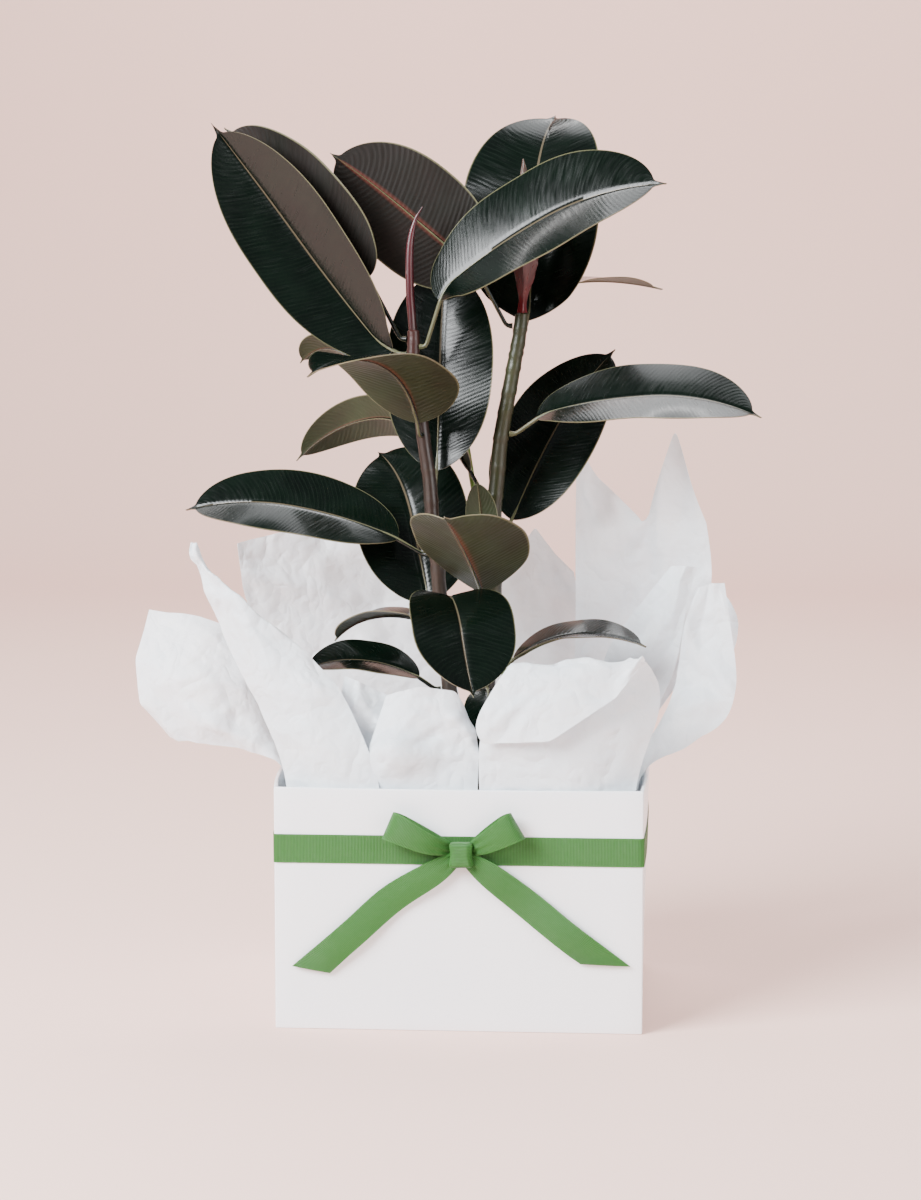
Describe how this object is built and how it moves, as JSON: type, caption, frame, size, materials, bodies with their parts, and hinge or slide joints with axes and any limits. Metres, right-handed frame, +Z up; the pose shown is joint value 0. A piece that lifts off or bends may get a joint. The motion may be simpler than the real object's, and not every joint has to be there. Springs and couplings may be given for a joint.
{
  "type": "potted rubber plant",
  "caption": "Rubber plant with broad glossy leaves on two stems, in a pot wrapped with tissue paper inside an open gift box with a ribbon bow.",
  "frame": {"origin": "centre of the gift box's underside, on the ground", "axes": "+Z up, the front with the bow faces -Y, and +X is to the right as seen from the front"},
  "size_m": [0.4873, 0.3656, 0.7048],
  "materials": {
    "white_card": "gloss coated white card",
    "pot_plastic": "black moulded plastic",
    "soil": "dark peat, matte and crumbly",
    "stem_bark": "smooth olive-brown bark with leaf-scar rings",
    "leaf_blade": "waxy dark green above, matte olive brown with a red midrib below",
    "bud_red": "waxy crimson sheath",
    "cane_green": "smooth bright green cane",
    "tissue_paper": "thin white tissue, slightly translucent",
    "ribbon_green": "green grosgrain with fine cross ribs"
  },
  "bodies": {
    "root": {"gift_box": "white_card", "nursery_pot": "pot_plastic", "potting_soil": "soil", "stem_left": "stem_bark", "stem_right": "stem_bark", "bud_sheath": "bud_red", "young_leaf": "bud_red", "support_cane": "cane_green", "leaf_01": "leaf_blade", "leaf_02": "leaf_blade", "leaf_03": "leaf_blade", "leaf_04": "leaf_blade", "leaf_05": "leaf_blade", "leaf_06": "leaf_blade", "leaf_07": "leaf_blade", "leaf_08": "leaf_blade", "leaf_09": "leaf_blade", "leaf_10": "leaf_blade", "leaf_11": "leaf_blade", "leaf_12": "leaf_blade", "leaf_13": "leaf_blade", "leaf_14": "leaf_blade", "leaf_15": "leaf_blade", "leaf_16": "leaf_blade", "leaf_17": "leaf_blade", "leaf_18": "leaf_blade", "leaf_19": "leaf_blade", "leaf_20": "leaf_blade", "leaf_21": "leaf_blade", "leaf_22": "leaf_blade", "tissue_left_tongue": "tissue_paper", "tissue_left_spike": "tissue_paper", "tissue_back_left": "tissue_paper", "tissue_back_centre": "tissue_paper", "tissue_back_right": "tissue_paper", "tissue_right_strip": "tissue_paper", "tissue_right_corner": "tissue_paper", "tissue_right": "tissue_paper", "tissue_front_left_inner": "tissue_paper", "tissue_front_left": "tissue_paper", "tissue_front_right": "tissue_paper", "ribbon_band": "ribbon_green", "bow_loop_left": "ribbon_green", "bow_loop_right": "ribbon_green", "bow_tail_left": "ribbon_green", "bow_tail_right": "ribbon_green", "bow_knot": "ribbon_green"}
  },
  "joints": []
}
